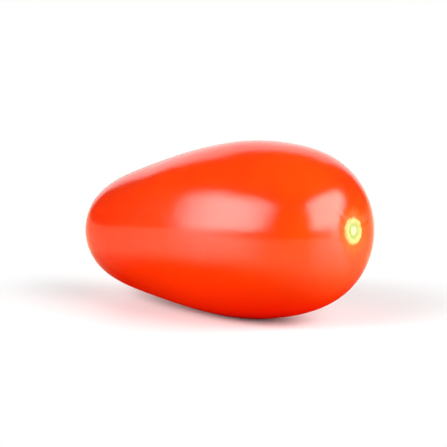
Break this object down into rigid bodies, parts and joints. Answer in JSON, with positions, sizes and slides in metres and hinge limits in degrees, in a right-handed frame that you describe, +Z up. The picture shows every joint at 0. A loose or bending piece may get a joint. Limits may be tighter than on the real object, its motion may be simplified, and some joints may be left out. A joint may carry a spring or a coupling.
{
  "type": "cherry tomato",
  "caption": "Ripe plum-shaped cherry tomato, lying on its side on a small flat spot, with a blunt stem end, a shallow hollow, a corky stem scar and a small blossom point.",
  "frame": {"origin": "bottom centre of the fruit's bounding box, on the surface that it lies on", "axes": "+X along the fruit towards its stem end, which is lifted by about 7 degrees, +Z up"},
  "size_m": [0.0444, 0.024, 0.0241],
  "materials": {
    "skin": "gloss"
  },
  "bodies": {
    "root": {"tomato": "skin"}
  },
  "joints": []
}
